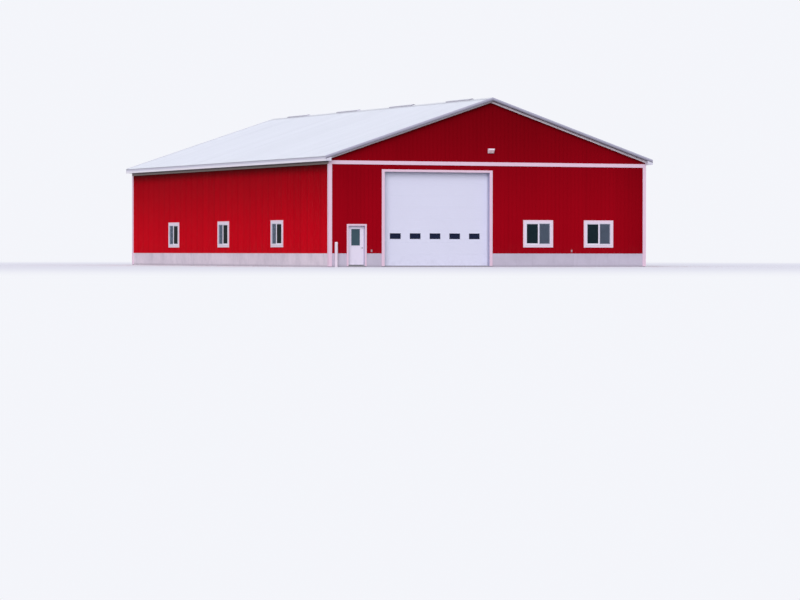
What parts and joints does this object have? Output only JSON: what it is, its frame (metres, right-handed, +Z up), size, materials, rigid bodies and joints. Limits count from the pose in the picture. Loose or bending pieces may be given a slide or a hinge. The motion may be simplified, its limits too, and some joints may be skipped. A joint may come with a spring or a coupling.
{
  "type": "barn",
  "caption": "Red steel-clad barn with a white gable roof, an overhead door, a hinged walk door and sliding windows on a concrete stem wall.",
  "frame": {"origin": "ground level, in the middle of the plan", "axes": "+Z up, front gable with the doors faces -Y, +X is to the right seen from the front"},
  "size_m": [18.97, 31.09, 8.9197],
  "materials": {
    "bare_steel": "satin steel",
    "bollard_paint": "white paint",
    "concrete": "cast concrete, light grey",
    "door_panel": "white embossed steel",
    "glass": "dark window glass",
    "light_housing": "satin grey",
    "liner": "white liner sheet",
    "outlet_plastic": "light grey plastic",
    "red_siding": "satin red ribbed steel",
    "roof_framing": "purlins and deck",
    "roof_steel": "satin white ribbed steel",
    "soffit_steel": "white vented steel",
    "walk_door_paint": "white painted steel",
    "wall_framing": "framed and insulated wall",
    "white_trim": "satin white steel trim",
    "white_vinyl": "white vinyl"
  },
  "bodies": {
    "building": {"belt_trims": "white_trim", "bollard": "bollard_paint", "ceiling": "liner", "corner_trims": "white_trim", "eave_box_ends": "white_trim", "eave_fascias": "white_trim", "eave_friezes": "white_trim", "eave_soffits": "soffit_steel", "floor_slab": "concrete", "foundation_front": "concrete", "foundation_rear": "concrete", "foundation_sides": "concrete", "front_gable": "wall_framing", "front_siding": "red_siding", "front_wall_left": "wall_framing", "front_wall_middle": "wall_framing", "front_wall_over_door": "wall_framing", "front_wall_right": "wall_framing", "left_wall": "wall_framing", "outlet_covers": "outlet_plastic", "overhead_door_hinges": "bare_steel", "overhead_door_jambs": "white_trim", "overhead_door_lites": "glass", "overhead_door_rollers": "bare_steel", "overhead_door_sections": "door_panel", "overhead_door_tracks": "bare_steel", "overhead_door_trim": "white_trim", "rake_fascias": "white_trim", "rake_friezes": "white_trim", "rake_soffits": "soffit_steel", "rear_siding": "red_siding", "rear_wall": "wall_framing", "ridge_cap": "roof_steel", "ridge_vents": "roof_steel", "right_wall": "wall_framing", "roof_deck_left": "roof_framing", "roof_deck_right": "roof_framing", "roof_sheet_left": "roof_steel", "roof_sheet_right": "roof_steel", "side_siding": "red_siding", "walk_door_frame": "white_trim", "walk_door_hinge_plates": "bare_steel", "walk_door_threshold": "bare_steel", "walk_door_trim": "white_trim", "wall_light": "light_housing", "window_frames": "white_vinyl", "window_glass": "glass", "window_sashes": "white_vinyl", "window_trims": "white_trim"},
    "walk_door": {"walk_door_glass": "glass", "walk_door_hinge_leaves": "bare_steel", "walk_door_leaf": "walk_door_paint", "walk_door_levers": "bare_steel"}
  },
  "joints": [
    {"name": "walk_door_hinge", "type": "hinge", "parent": "building", "child": "walk_door", "pos_m": [-8.0735, -15.048, 1.103], "axis": [0, 0, 1], "range_deg": [0, 90]}
  ]
}
